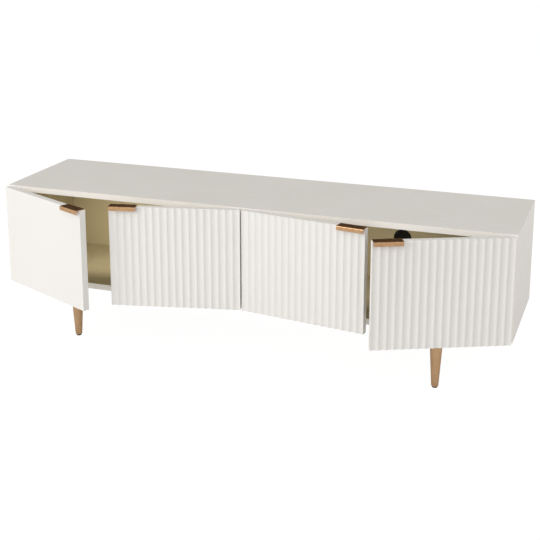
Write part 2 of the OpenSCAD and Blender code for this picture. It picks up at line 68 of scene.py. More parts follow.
# %% Measure the boards, the hinge lines and the doors' openings
MM = 0.001
top_low, top_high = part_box("top_panel")
bottom_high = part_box("bottom_panel")[1]
left_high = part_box("left_side_panel")[1]
back_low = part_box("back_panel")[0]
inside_low = Vector((left_high.x, top_low.y, bottom_high.z))
inside_high = Vector((-left_high.x, back_low.y, top_low.z))
joints = {joint["child"]: joint for joint in frame["joints"]}
doors = sorted(joints)
hinge_line = {door: Vector(joints[door]["pos_m"]) for door in doors}
free_side = {door: -joints[door]["axis"][2] for door in doors}
opened = {door: math.radians(-joints[door]["range_deg"][0]) for door in doors}
print("boards", round((top_high.z - top_low.z) / MM), "mm thick")
print("doors stand open by", {door: round(math.degrees(opened[door]), 1) for door in doors})

# %% [markdown]
# ## The camera
#
# The console is seen from above its right end, with a fairly long lens, so its long front
# stays calm. A wider lens from nearer would show the same three sides, but the near end
# would swell. The lens is shifted down, so that the camera tips less and the upright edges
# of the cabinet stay nearly upright.

# %% Place the camera
FAR_CLIP = 100


def look_from(place, turn_left, tilt_down, lens, shift):
    """A camera at a place, turned left and tilted down by angles in degrees."""
    data = bpy.data.cameras.new("studio_camera")
    camera = bpy.data.objects.new("studio_camera", data)
    bpy.context.scene.collection.objects.link(camera)
    camera.location = place
    camera.rotation_euler = (math.radians(90 - tilt_down), 0, math.radians(turn_left))
    data.lens = lens
    data.shift_y = shift
    data.clip_end = FAR_CLIP
    bpy.context.scene.camera = camera
    return camera


camera = look_from((1.1312, -3.1088, 1.3805), 19.727, 13.926, 73.56, -0.185)
print("camera stands", round((camera.location - Vector((0, 0, 0.3))).length, 2), "m away")

# %% [markdown]
# ## Small tools for building shader trees
#
# A node tree reads best when each line adds one node and says what feeds it. `add` makes a
# node and sets or wires its sockets, `choose` mixes two colours by a mask, and `between`
# turns a mask into a number from low to high, which is what roughness wants.

# %% Shader helpers
def feed(tree, socket, value):
    """Wires a socket into another, or writes a plain value on it."""
    if isinstance(value, bpy.types.NodeSocket):
        tree.links.new(value, socket)
    elif isinstance(value, tuple) and socket.type == "RGBA":
        socket.default_value = (*value[:3], 1)
    else:
        socket.default_value = value


def add(tree, kind, inputs=None, **settings):
    """A new node with its settings, and its inputs fed by name or by number."""
    made = tree.nodes.new("ShaderNode" + kind)
    for key, value in settings.items():
        setattr(made, key, value)
    for key, value in (inputs or {}).items():
        feed(tree, made.inputs[key], value)
    return made


def choose(tree, mask, first, second):
    """A colour that goes from first to second as the mask goes from 0 to 1."""
    made = add(tree, "Mix", {0: mask, 6: first, 7: second}, data_type="RGBA")
    return made.outputs[2]


def between(tree, mask, low, high, start=0.0, end=1.0):
    """A number that goes from low to high as the mask goes from start to end."""
    sockets = {"Value": mask, "From Min": start, "From Max": end, "To Min": low, "To Max": high}
    return add(tree, "MapRange", sockets).outputs[0]


def times(tree, first, second):
    return add(tree, "Math", {0: first, 1: second}, operation="MULTIPLY").outputs[0]


def finish_named(name, metal=0.0, **sockets):
    """An empty finish: its tree, and its Principled BSDF with plain sockets set."""
    material = bpy.data.materials.new(name)
    material.use_nodes = True
    skin = material.node_tree.nodes["Principled BSDF"]
    skin.inputs["Metallic"].default_value = metal
    for key, value in sockets.items():
        skin.inputs[key.replace("_", " ")].default_value = value
    return material, material.node_tree, skin


def new_group(name, numbers, outputs):
    """An empty shader group with number inputs (name: default) and number outputs."""
    tree = bpy.data.node_groups.new(name, "ShaderNodeTree")
    for key, value in numbers.items():
        socket = tree.interface.new_socket(key, in_out="INPUT", socket_type="NodeSocketFloat")
        socket.default_value = value
    for key in outputs:
        tree.interface.new_socket(key, in_out="OUTPUT", socket_type="NodeSocketFloat")
    start = tree.nodes.new("NodeGroupInput")
    end = tree.nodes.new("NodeGroupOutput")
    return tree, start.outputs, end.inputs


def use(tree, group, **numbers):
    """Places a group in a material with its own numbers, and gives its outputs."""
    made = tree.nodes.new("ShaderNodeGroup")
    made.node_tree = group
    for key, value in numbers.items():
        feed(tree, made.inputs[key.replace("_", " ")], value)
    return made.outputs


print("shader helpers ready")

# %% [markdown]
# ## Effects that several finishes share
#
# Sprayed lacquer, melamine, brass and zinc all vary a little from place to place. Rather
# than paint each variation by hand, we build a few masks once, as groups:
#
# - **cloudy** is a slow, soft mottle, for colour that is never quite even;
# - **orange_peel** is the faint ripple that sprayed paint and moulded plastic keep;
# - **brushed** is a grain of fine parallel scratches along one direction;
# - **handled** is where edges get rubbed, found from how sharply the surface turns;
# - **dusty** is what settles on faces that look up.

# %% The shared groups
def cloudy_group():
    tree, given, out = new_group("cloudy", {"Scale": 6.0, "Contrast": 1.0}, ["Mask"])
    place = add(tree, "TexCoord").outputs["Object"]
    noise = add(tree, "TexNoise", {"Vector": place, "Scale": given["Scale"], "Detail": 4.0,
                                   "Roughness": 0.55})
    centred = add(tree, "Math", {0: noise.outputs[0], 1: 0.5}, operation="SUBTRACT").outputs[0]
    spread = times(tree, centred, given["Contrast"])
    lifted = add(tree, "Math", {0: spread, 1: 0.5}, operation="ADD", use_clamp=True).outputs[0]
    feed(tree, out["Mask"], lifted)
    return tree


def orange_peel_group():
    tree, given, out = new_group("orange_peel", {"Scale": 400.0, "Slow": 0.3}, ["Height"])
    place = add(tree, "TexCoord").outputs["Object"]
    fine = add(tree, "TexNoise", {"Vector": place, "Scale": given["Scale"], "Detail": 2.0})
    slow_scale = times(tree, given["Scale"], 0.06)
    slow = add(tree, "TexNoise", {"Vector": place, "Scale": slow_scale, "Detail": 1.0})
    slow_part = times(tree, slow.outputs[0], given["Slow"])
    both = add(tree, "Math", {0: fine.outputs[0], 1: slow_part}, operation="ADD").outputs[0]
    feed(tree, out["Height"], both)
    return tree


def brushed_group():
    names = {"Along X": 1.0, "Along Y": 1.0, "Along Z": 1.0, "Scale": 100.0}
    tree, given, out = new_group("brushed", names, ["Height", "Mask"])
    place = add(tree, "TexCoord").outputs["Object"]
    stretch = add(tree, "CombineXYZ", {0: given["Along X"], 1: given["Along Y"],
                                       2: given["Along Z"]}).outputs[0]
    drawn = add(tree, "VectorMath", {0: place, 1: stretch}, operation="MULTIPLY").outputs[0]
    grain = add(tree, "TexNoise", {"Vector": drawn, "Scale": given["Scale"], "Detail": 5.0,
                                   "Roughness": 0.7})
    feed(tree, out["Height"], grain.outputs[0])
    feed(tree, out["Mask"], between(tree, grain.outputs[0], 0.0, 1.0, 0.3, 0.7))
    return tree


def handled_group():
    tree, given, out = new_group("handled", {"Scale": 60.0, "Reach": 0.04}, ["Mask"])
    turn = add(tree, "NewGeometry").outputs["Pointiness"]
    end = add(tree, "Math", {0: given["Reach"], 1: 0.51}, operation="ADD").outputs[0]
    sharp = between(tree, turn, 0.0, 1.0, 0.51, end)
    place = add(tree, "TexCoord").outputs["Object"]
    noise = add(tree, "TexNoise", {"Vector": place, "Scale": given["Scale"], "Detail": 3.0})
    patchy = between(tree, noise.outputs[0], 0.0, 1.0, 0.42, 0.62)
    feed(tree, out["Mask"], times(tree, sharp, patchy))
    return tree


def dusty_group():
    tree, given, out = new_group("dusty", {"Scale": 40.0, "Amount": 1.0}, ["Mask"])
    facing = add(tree, "NewGeometry").outputs["Normal"]
    up = add(tree, "SeparateXYZ", {0: facing}).outputs[2]
    flat = between(tree, up, 0.0, 1.0, 0.6, 1.0)
    place = add(tree, "TexCoord").outputs["Object"]
    noise = add(tree, "TexNoise", {"Vector": place, "Scale": given["Scale"], "Detail": 6.0,
                                   "Roughness": 0.65})
    settled = between(tree, noise.outputs[0], 0.0, 1.0, 0.4, 0.75)
    feed(tree, out["Mask"], times(tree, times(tree, flat, settled), given["Amount"]))
    return tree


cloudy = cloudy_group()
orange_peel = orange_peel_group()
brushed = brushed_group()
handled = handled_group()
dusty = dusty_group()
print("groups:", [group.name for group in (cloudy, orange_peel, brushed, handled, dusty)])

# %% [markdown]
# ## The lacquer
#
# The boards and doors are fibreboard under a sprayed satin lacquer, a warm off-white. Three
# things make it read as paint: a soft mottle of two near whites, gloss that changes a touch
# with the mottle, and a fine orange peel that breaks up reflections. Faces inside the
# cabinet are not lacquered but faced with a khaki melamine. The carcass boards carry both,
# so the carcass finish picks khaki where a face lies inside the box. Edges that look out at
# the front are set whiter: a painted highlight, standing in for the front light on them. A
# second set of meshes for the inner faces would also work, but a mask keeps the boards whole.

# %% Lacquer for the doors, and lacquer with khaki lining for the carcass
WHITE = (0.848, 0.838, 0.816)
WHITE_WARM = (0.822, 0.808, 0.780)
KHAKI = (0.480, 0.410, 0.245)
KHAKI_DEEP = (0.440, 0.370, 0.215)
# painted highlight: a whiter colour for the front-facing edges, standing in for the front light on them
PAINTED_EDGE_HIGHLIGHT = (0.985, 0.955, 0.905)
DUST_ON_WHITE = (0.70, 0.68, 0.64)
LACQUER_GLOSS = 0.36


def sprayed(tree, skin, colour):
    """Wires the lacquer's gloss, settled dust and orange peel round a base colour."""
    mottle = use(tree, cloudy, Scale=9.0, Contrast=1.6)["Mask"]
    dust = use(tree, dusty, Scale=30.0, Amount=0.18)["Mask"]
    feed(tree, skin.inputs["Base Color"], choose(tree, dust, colour, DUST_ON_WHITE))
    gloss = between(tree, mottle, LACQUER_GLOSS - 0.04, LACQUER_GLOSS + 0.06)
    rough = add(tree, "Math", {0: gloss, 1: times(tree, dust, 0.25)}, operation="ADD").outputs[0]
    feed(tree, skin.inputs["Roughness"], rough)
    peel = use(tree, orange_peel, Scale=650.0, Slow=0.5)["Height"]
    bump = add(tree, "Bump", {"Strength": 0.10, "Distance": 0.0006, "Height": peel})
    feed(tree, skin.inputs["Normal"], bump.outputs[0])


def lacquer_finish():
    material, tree, skin = finish_named("satin_lacquer")
    mottle = use(tree, cloudy, Scale=4.0, Contrast=1.8)["Mask"]
    sprayed(tree, skin, choose(tree, mottle, WHITE, WHITE_WARM))
    return material


def front_highlight_mask(tree):
    """1 on faces that look out at the front, which take the painted edge highlight."""
    outward = add(tree, "NewGeometry").outputs["True Normal"]
    facing = add(tree, "SeparateXYZ", {0: outward}).outputs[1]
    return add(tree, "Math", {0: facing, 1: -0.5}, operation="LESS_THAN").outputs[0]


def inside_mask(tree):
    """1 on faces inside the box, wherever they look."""
    place = add(tree, "SeparateXYZ", {0: add(tree, "TexCoord").outputs["Object"]}).outputs
    away = add(tree, "Math", {0: place[0]}, operation="ABSOLUTE").outputs[0]
    skin_deep = 0.4 * MM
    tests = [
        add(tree, "Math", {0: away, 1: inside_high.x + skin_deep}, operation="LESS_THAN"),
        add(tree, "Math", {0: place[2], 1: inside_low.z - skin_deep}, operation="GREATER_THAN"),
        add(tree, "Math", {0: place[2], 1: inside_high.z + skin_deep}, operation="LESS_THAN"),
    ]
    mask = tests[0].outputs[0]
    for test in tests[1:]:
        mask = times(tree, mask, test.outputs[0])
    return mask


def carcass_finish():
    material, tree, skin = finish_named("lacquer_with_khaki_lining")
    mottle = use(tree, cloudy, Scale=4.0, Contrast=1.8)["Mask"]
    outside = choose(tree, mottle, WHITE, WHITE_WARM)
    lining = choose(tree, mottle, KHAKI, KHAKI_DEEP)
    faces = choose(tree, inside_mask(tree), outside, lining)
    # front-facing faces take the painted highlight colour, standing in for the front light on the edges
    sprayed(tree, skin, choose(tree, front_highlight_mask(tree), faces, PAINTED_EDGE_HIGHLIGHT))
    return material


lacquer = lacquer_finish()
carcass = carcass_finish()
print("lacquer finishes:", lacquer.name, carcass.name)

# %% [markdown]
# ## The back panel
#
# The back is a thin board faced with the same khaki melamine, with a faint linen emboss.
# Two wave textures crossing at right angles give the emboss; it is only 0.05 mm deep, so
# it shows as a softer sheen more than as threads.

# %% Khaki melamine
def lining_finish():
    material, tree, skin = finish_named("khaki_melamine")
    mottle = use(tree, cloudy, Scale=5.0, Contrast=1.6)["Mask"]
    feed(tree, skin.inputs["Base Color"], choose(tree, mottle, KHAKI, KHAKI_DEEP))
    feed(tree, skin.inputs["Roughness"], between(tree, mottle, 0.48, 0.60))
    place = add(tree, "TexCoord").outputs["Object"]
    across = add(tree, "TexWave", {"Vector": place, "Scale": 260.0, "Distortion": 1.5},
                 bands_direction="X").outputs[1]
    upward = add(tree, "TexWave", {"Vector": place, "Scale": 260.0, "Distortion": 1.5},
                 bands_direction="Z").outputs[1]
    threads = add(tree, "Math", {0: across, 1: upward}, operation="ADD").outputs[0]
    bump = add(tree, "Bump", {"Strength": 0.15, "Distance": 0.0001, "Height": threads})
    feed(tree, skin.inputs["Normal"], bump.outputs[0])
    return material


melamine = lining_finish()
print("lining:", melamine.name)

# %% [markdown]
# ## Brass
#
# The legs and the pulls are satin antique brass: metal with a brownish lacquer, brushed on
# a lathe for the legs and along the strip for the pulls. Both come from one recipe; only
# the direction of the brushing, the patina and the painted dark top differ. The pulls are
# set darker on top: a painted reflection, standing in for the dark surround that their tops
# mirror. Metal takes its colour from what it mirrors, so the studio matters here as much as
# the base colour.

# %% Satin brass for the legs and the pulls
# painted reflection: the dark brown given to the pulls' top faces, standing in for the dark surround they mirror
PAINTED_TOP_REFLECTION = (0.140, 0.066, 0.018)


def brass_finish(name, light, deep, along, rough, painted_top_share, scratch):
    """Brass with its grain along a direction, and a painted dark reflection on faces that look up."""
    material, tree, skin = finish_named(name, metal=1.0)
    patina = use(tree, cloudy, Scale=28.0, Contrast=2.2)["Mask"]
    grain = use(tree, brushed, Along_X=along[0], Along_Y=along[1], Along_Z=along[2], Scale=220.0)
    rubbed = use(tree, handled, Scale=140.0, Reach=0.05)["Mask"]
    metal = choose(tree, patina, light, deep)
    streaked = choose(tree, times(tree, grain["Mask"], 0.18), metal, deep)
    # Faces that look up are darkened towards brown: a painted reflection, standing in for the dark surround they
    # mirror.
    up = add(tree, "SeparateXYZ", {0: add(tree, "NewGeometry").outputs["Normal"]}).outputs[2]
    painted_top_mask = between(tree, up, 0.0, painted_top_share, 0.55, 0.95)
    with_painted_top = choose(tree, painted_top_mask, streaked, PAINTED_TOP_REFLECTION)
    bright = tuple(min(1.0, part * 1.25) for part in light)
    feed(tree, skin.inputs["Base Color"], choose(tree, times(tree, rubbed, 0.5), with_painted_top, bright))
    worn = between(tree, grain["Mask"], rough - 0.05, rough + 0.08)
    feed(tree, skin.inputs["Roughness"], worn)
    bump = add(tree, "Bump", {"Strength": scratch, "Distance": 0.0002, "Height": grain["Height"]})
    feed(tree, skin.inputs["Normal"], bump.outputs[0])
    return material


leg_brass = brass_finish("satin_brass_turned", (0.73, 0.482, 0.284), (0.63, 0.405, 0.226),
                         (0.15, 0.15, 6.0), 0.27, 0.0, 0.12)
pull_brass = brass_finish("satin_brass_strip", (0.67, 0.415, 0.232), (0.57, 0.345, 0.182),
                          (0.12, 5.0, 5.0), 0.26, 0.88, 0.05)
print("brass:", leg_brass.name, pull_brass.name)

# %% [markdown]
# ## Plated steel, plastics, rubber and beech
#
# The fittings are bright zinc-plated pressings, the cable outlets black moulded plastic
# with a fine spark texture, the glides dark nylon, and the door stops clear soft dots. The
# dowels are raw beech, hidden in the joints, but they get their short flecks all the same.

# %% Finishes of the fittings
def zinc_finish():
    material, tree, skin = finish_named("zinc_plated_steel", metal=1.0)
    spangle = use(tree, cloudy, Scale=90.0, Contrast=2.6)["Mask"]
    grain = use(tree, brushed, Along_X=1.0, Along_Y=1.0, Along_Z=0.2, Scale=300.0)
    rubbed = use(tree, handled, Scale=200.0, Reach=0.06)["Mask"]
    plated = choose(tree, spangle, (0.62, 0.63, 0.64), (0.50, 0.51, 0.53))
    feed(tree, skin.inputs["Base Color"], choose(tree, rubbed, plated, (0.74, 0.74, 0.74)))
    feed(tree, skin.inputs["Roughness"], between(tree, grain["Mask"], 0.24, 0.40))
    bump = add(tree, "Bump", {"Strength": 0.10, "Distance": 0.0002, "Height": grain["Height"]})
    feed(tree, skin.inputs["Normal"], bump.outputs[0])
    return material


def moulded_finish(name, colour, greyer, low, high, scale):
    """Moulded plastic: a dark body, a spark-eroded skin and a little dust on top."""
    material, tree, skin = finish_named(name, Specular_IOR_Level=0.25)
    mottle = use(tree, cloudy, Scale=45.0, Contrast=1.8)["Mask"]
    dust = use(tree, dusty, Scale=160.0, Amount=0.5)["Mask"]
    body = choose(tree, mottle, colour, greyer)
    feed(tree, skin.inputs["Base Color"], choose(tree, dust, body, (0.22, 0.21, 0.20)))
    feed(tree, skin.inputs["Roughness"], between(tree, mottle, low, high))
    peel = use(tree, orange_peel, Scale=scale, Slow=0.2)["Height"]
    bump = add(tree, "Bump", {"Strength": 0.35, "Distance": 0.0002, "Height": peel})
    feed(tree, skin.inputs["Normal"], bump.outputs[0])
    return material


def rubber_finish():
    material, tree, skin = finish_named("clear_rubber", Transmission_Weight=0.85, IOR=1.48)
    mottle = use(tree, cloudy, Scale=120.0, Contrast=1.5)["Mask"]
    clear = choose(tree, mottle, (0.93, 0.93, 0.90), (0.86, 0.86, 0.82))
    feed(tree, skin.inputs["Base Color"], clear)
    feed(tree, skin.inputs["Roughness"], between(tree, mottle, 0.16, 0.30))
    return material


def beech_finish():
    material, tree, skin = finish_named("raw_beech")
    grain = use(tree, brushed, Along_X=6.0, Along_Y=6.0, Along_Z=0.6, Scale=90.0)
    flecks = use(tree, cloudy, Scale=380.0, Contrast=3.0)["Mask"]
    wood = choose(tree, grain["Mask"], (0.60, 0.40, 0.23), (0.46, 0.28, 0.15))
    flecked = choose(tree, times(tree, flecks, 0.3), wood, (0.33, 0.19, 0.10))
    feed(tree, skin.inputs["Base Color"], flecked)
    feed(tree, skin.inputs["Roughness"], between(tree, grain["Mask"], 0.55, 0.75))
    bump = add(tree, "Bump", {"Strength": 0.3, "Distance": 0.0003, "Height": grain["Height"]})
    feed(tree, skin.inputs["Normal"], bump.outputs[0])
    return material


zinc = zinc_finish()
black_plastic = moulded_finish("black_moulded_plastic", (0.006, 0.005, 0.004),
                               (0.010, 0.009, 0.007), 0.55, 0.70, 1500.0)
nylon = moulded_finish("dark_nylon", (0.020, 0.018, 0.016),
                       (0.045, 0.040, 0.034), 0.5, 0.7, 900.0)
rubber = rubber_finish()
beech = beech_finish()
print("fittings:", [m.name for m in (zinc, black_plastic, nylon, rubber, beech)])

# %% [markdown]
# ## Softening the CAD edges
#
# CAD solids have perfectly sharp edges, and nothing real does: a sprayed board has an arris
# of about half a millimetre, a pressing a little less. The CAD meshes stay untouched; each
# gets modifiers instead. Weld closes the seams the file format leaves, Bevel rounds the
# sharp edges, and Weighted Normal keeps the wide faces flat in the light.

# %% Give every CAD piece its finish and its soft edges
FINISH_OF = {"lacquer": lacquer, "lining": melamine, "black_plastic": black_plastic,
             "leg_brass": leg_brass, "pull_brass": pull_brass, "glide_felt": nylon,
             "beech": beech, "zinc_steel": zinc, "clear_bumper": rubber}
ARRIS_OF = {"lacquer": 0.7, "lining": 0.2, "black_plastic": 0.3, "leg_brass": 0.3,
            "pull_brass": 0.3, "glide_felt": 0.5, "beech": 0.4, "zinc_steel": 0.2,
            "clear_bumper": 0.5}
slot_of = {part["node"]: part["material_slot"] for part in frame["record"]["subparts"]}


def soften(piece, arris, turn=30):
    """Rounds edges that turn more than some degrees, by an arris in millimetres."""
    piece.data.polygons.foreach_set("use_smooth", [True] * len(piece.data.polygons))
    weld = piece.modifiers.new("closed_seams", "WELD")
    weld.merge_threshold = 0.002 * MM
    bevel = piece.modifiers.new("soft_arris", "BEVEL")
    bevel.width = arris * MM
    bevel.segments = 3
    bevel.limit_method = "ANGLE"
    bevel.angle_limit = math.radians(turn)
    bevel.use_clamp_overlap = True
    normals = piece.modifiers.new("flat_faces", "WEIGHTED_NORMAL")
    normals.keep_sharp = False
    normals.weight = 80


def dress(piece, material):
    piece.data.materials.clear()
    piece.data.materials.append(material)


CARCASS = ("top_panel", "bottom_panel", "left_side_panel", "right_side_panel", "centre_partition")
for name, piece in nodes.items():
    slot = slot_of[name]
    dress(piece, carcass if name in CARCASS else FINISH_OF[slot])
    if "custom_normal" in piece.data.attributes:
        piece.data.attributes.remove(piece.data.attributes["custom_normal"])
    soften(piece, ARRIS_OF[slot])
print("softened", len(nodes), "CAD pieces")

# %% [markdown]
# ## Tools for pieces of our own
#
# Some pieces deserve more than soft edges: legs, pulls and screws. We build those in mesh
# code. `lathe` turns a profile round an axis, which is how the real legs, screws and stops
# are made. `stand_for` hangs the finished piece on its CAD body in place of its CAD node.

# %% Mesh helpers
def piece_from(name, bm, material, place=None):
    """A named object from mesh data, smooth, with its finish, placed by a matrix."""
    data = bpy.data.meshes.new(name)
    bmesh.ops.recalc_face_normals(bm, faces=bm.faces)
    bm.to_mesh(data)
    bm.free()
    data.polygons.foreach_set("use_smooth", [True] * len(data.polygons))
    piece = bpy.data.objects.new(name, data)
    bpy.context.scene.collection.objects.link(piece)
    piece.matrix_world = place or Matrix.Identity(4)
    dress(piece, material)
    return piece


def lathe(profile, steps=48):
    """Mesh of a profile of (radius, height) points turned round Z, closed at its ends."""
    bm = bmesh.new()
    rings = []
    for radius, height in profile:
        if radius < 1e-7:
            rings.append([bm.verts.new((0, 0, height))])
            continue
        turns = [2 * math.pi * k / steps for k in range(steps)]
        ring = [(radius * math.cos(a), radius * math.sin(a), height) for a in turns]
        rings.append([bm.verts.new(point) for point in ring])
    for low, high in zip(rings, rings[1:]):
        for k in range(steps):
            near, far = k, (k + 1) % steps
            if len(low) == 1:
                bm.faces.new((low[0], high[near], high[far]))
            elif len(high) == 1:
                bm.faces.new((low[near], high[0], low[far]))
            else:
                bm.faces.new((low[near], high[near], high[far], low[far]))
    return bm


def rounded(corners, radii, steps=5):
    """A profile with each corner rounded by its own radius."""
    path = []
    for k, corner in enumerate(corners):
        here = Vector(corner)
        if k in (0, len(corners) - 1) or radii[k] == 0:
            path.append(here)
            continue
        before = (Vector(corners[k - 1]) - here).normalized()
        after = (Vector(corners[k + 1]) - here).normalized()
        half = before.angle(after) / 2
        reach = radii[k] / math.tan(half)
        centre = here + (before + after).normalized() * radii[k] / math.sin(half)
        start, end = here + before * reach - centre, here + after * reach - centre
        sweep = start.angle_signed(end)
        turn = Matrix.Rotation(-sweep / steps, 2)
        for _ in range(steps + 1):
            path.append(centre + start)
            start = turn @ start
    return [tuple(point) for point in path]


def stand_for(piece, body, *names):
    """The piece rides on a body, and is shown in place of its CAD nodes."""
    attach(piece, body)
    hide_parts(*names)
    return piece


print("mesh helpers ready")

# %% [markdown]
# ## The legs
#
# Each leg is a solid turned bar, widest at its plate and tapering to a foot with a rounded
# nose. A cone would give the taper, but the eye finds the foot first, so we turn a profile
# with a real nose radius and a hair-fine rounding under the plate. Rings along the taper keep
# the shading even.

# %% Turn four legs
NOSE = 3.8 * MM
SHOULDER = 0.8 * MM


def leg_profile(foot_r, top_r, low, high):
    corners = [(0, low), (foot_r, low), (top_r, high), (0, high)]
    turned = rounded(corners, [0, NOSE, SHOULDER, 0], steps=8)
    side = [k for k, point in enumerate(turned) if point[0] > foot_r * 0.9]
    longest = max(side[:-1], key=lambda k: turned[k + 1][1] - turned[k][1])
    start, end = Vector(turned[longest]), Vector(turned[longest + 1])
    between_points = [tuple(start.lerp(end, share / 12)) for share in range(1, 12)]
    return turned[:longest + 1] + between_points + turned[longest + 1:]


for name in ("leg_front_left", "leg_front_right", "leg_rear_left", "leg_rear_right"):
    low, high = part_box(name)
    middle = (low + high) / 2
    top_r = (high.x - low.x) / 2
    ring = [v.co for v in nodes[name].data.vertices if v.co.z < low.z + 2.5 * MM]
    foot_r = max((Vector((p.x, p.y)) - Vector((middle.x, middle.y))).length for p in ring)
    profile = leg_profile(foot_r, top_r, 0, high.z - low.z)
    place = Matrix.Translation((middle.x, middle.y, low.z))
    leg = piece_from(name + "_turned", lathe(profile, steps=72), leg_brass, place)
    stand_for(leg, "cabinet", name)
print("legs", round((high.z - low.z) / MM), "mm long, foot", round(2 * foot_r / MM, 1), "mm")

# %% [markdown]
# ## Reading the fittings' places
#
# Screws, cam discs and door stops come as one CAD piece for many copies. To set a better
# copy on each, we need every single place. Each copy is an island of connected points, so
# we walk the mesh island by island and read where it sits along a known direction.

# %% Find the places of many small copies
def islands(name):
    """The connected islands of a CAD piece, each as a list of points."""
    bm = bmesh.new()
    bm.from_mesh(nodes[name].data)
    bmesh.ops.remove_doubles(bm, verts=bm.verts, dist=0.002 * MM)
    left, found = set(bm.verts), []
    while left:
        queue, island = [left.pop()], []
        while queue:
            vert = queue.pop()
            island.append(vert.co.copy())
            near = {edge.other_vert(vert) for edge in vert.link_edges} & left
            left -= near
            queue += near
        found.append(island)
    bm.free()
    return found


def frame_along(axis):
    """A rotation whose Z runs along the axis."""
    return Vector(axis).to_track_quat("Z", "Y").to_matrix()


def seats(name, axis, facing=None):
    """One matrix per copy: origin in the middle of its outer face, Z pointing outwards."""
    found = []
    for island in islands(name):
        turn = frame_along(axis)
        local = [turn.transposed() @ point for point in island]
        low = min(p.z for p in local)
        high = max(p.z for p in local)
        middle = [(min(p[k] for p in local) + max(p[k] for p in local)) / 2 for k in (0, 1)]
        reach = {end: max(math.hypot(p.x - middle[0], p.y - middle[1])
                          for p in local if abs(p.z - end) < 0.05 * MM) for end in (low, high)}
        centre = turn @ Vector((*middle, (low + high) / 2))
        outward = facing(centre) if facing else (1 if reach[high] >= reach[low] else -1)
        end = high if outward > 0 else low
        place = frame_along(Vector(axis) * outward).to_4x4()
        place.translation = turn @ Vector((*middle, end))
        found.append((place, high - low))
    return found


def door_frame(door):
    """The door's own frame: origin on its pin at the foot, X along it, Y to the cabinet."""
    foot = Vector((hinge_line[door].x, hinge_line[door].y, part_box(door + "_panel")[0].z))
    return Matrix.Translation(foot) @ Matrix.Rotation(-free_side[door] * opened[door], 4, "Z")


def carve(piece, cutters):
    """Cuts the cutters out of the piece and throws them away."""
    for cutter in cutters:
        cut = piece.modifiers.new("carve", "BOOLEAN")
        cut.object = cutter
        cut.solver = "EXACT"
    bpy.context.view_layer.update()
    shaped = piece.evaluated_get(bpy.context.evaluated_depsgraph_get())
    data = bpy.data.meshes.new_from_object(shaped)
    piece.modifiers.clear()
    piece.data = data
    for cutter in cutters:
        bpy.data.objects.remove(cutter)
    return piece


print("screws found:", len(seats("hinge_plate_screws", (1, 0, 0))), "on the plates,",
      len(seats("leg_plate_screws", (0, 0, 1))), "under the legs")
for door in doors:
    print(door, "frame turned by", round(math.degrees(door_frame(door).to_euler().z), 1))

# %% [markdown]
# ## The pulls
#
# A pull is one strip of brass folded twice over the door's top edge: a lip in front that
# the fingers hook, a flat plate, and a tab behind that two countersunk screws hold. We draw
# the folded section with true bend radii and sweep it along the door. Built in the door's
# own frame, its brushing runs along the strip however far the door stands open.

# %% Fold four pulls
STRIP = 2 * MM
BEND = 1 * MM
SINK_R, BORE_R = 3.5 * MM, 1.85 * MM


def in_door(name, door):
    """A CAD piece's points in its door's frame."""
    back = door_frame(door).inverted()
    return [back @ v.co for v in nodes[name].data.vertices]


def sweep_section(section, start, end):
    """A bar with this closed (y, z) section from x = start to x = end."""
    bm = bmesh.new()
    near, far = [[bm.verts.new((x, y, z)) for y, z in section] for x in (start, end)]
    for k in range(len(section)):
        after = (k + 1) % len(section)
        bm.faces.new((near[k], near[after], far[after], far[k]))
    bm.faces.new(near)
    bm.faces.new(far[::-1])
    return bm


def fold_pull(door):
    name = door + "_pull"
    points = in_door(name, door)
    low, high = [Vector([pick(p[k] for p in points) for k in range(3)]) for pick in (min, max)]
    lip = min(p.z for p in points if p.y < low.y + STRIP)
    corners = [(low.y, lip), (low.y, high.z), (high.y, high.z), (high.y, low.z),
               (high.y - STRIP, low.z), (high.y - STRIP, high.z - STRIP),
               (low.y + STRIP, high.z - STRIP), (low.y + STRIP, lip)]
    outer = BEND + STRIP
    section = rounded(corners, [0, outer, outer, 0, 0, BEND, BEND, 0], steps=6)
    place = door_frame(door)
    pull = piece_from(name + "_folded", sweep_section(section, low.x, high.x), pull_brass, place)
    cutters = []
    for seat, _ in seats(door + "_pull_screws", place.col[1].to_3d()):
        sink = lathe([(0, -3 * STRIP), (BORE_R, -3 * STRIP), (BORE_R, -STRIP), (SINK_R, 0),
                      (SINK_R, MM), (0, MM)])
        cutters.append(piece_from("sink", sink, pull_brass, seat))
    carve(pull, cutters)
    soften(pull, 0.25)
    stand_for(pull, door, name)
    return high.x - low.x


for door in doors:
    length = fold_pull(door)
print("four pulls folded,", round(length / MM), "mm long")

# %% [markdown]
# ## Screws
#
# A pan head with a cross recess is turned once, its recess cut once, and then set at every
# place found above. Copying one finished screw keeps the mesh light and every head alike.
# Each copy is turned a little further about its own axis, because no two screws stop at
# the same angle.

# %% Turn one screw of each kind and set its copies
# head radius, shank radius and head height, in millimetres
WOOD_SCREW = (3.4, 1.75, 1.8)
ARM_SCREW = (4.5, 3.0, 1.8)
SUNK_SCREW = (3.4, 1.75, 2.0)
TURN_APART = 0.9


def cross_cutter(width, depth):
    """Two crossed wedges at z = 0, narrower at the bottom."""
    bm = bmesh.new()
    for long_x, long_y in ((1.0, 0.26), (0.26, 1.0)):
        rings = []
        for share, z in ((0.55, -depth), (1.0, depth)):
            half_x, half_y = width * long_x * share / 2, width * long_y * share / 2
            rings.append([bm.verts.new((x * half_x, y * half_y, z))
                          for x, y in ((-1, -1), (1, -1), (1, 1), (-1, 1))])
        for k in range(4):
            after = (k + 1) % 4
            bm.faces.new((rings[0][k], rings[0][after], rings[1][after], rings[1][k]))
        bm.faces.new(rings[0][::-1])
        bm.faces.new(rings[1])
    return bm


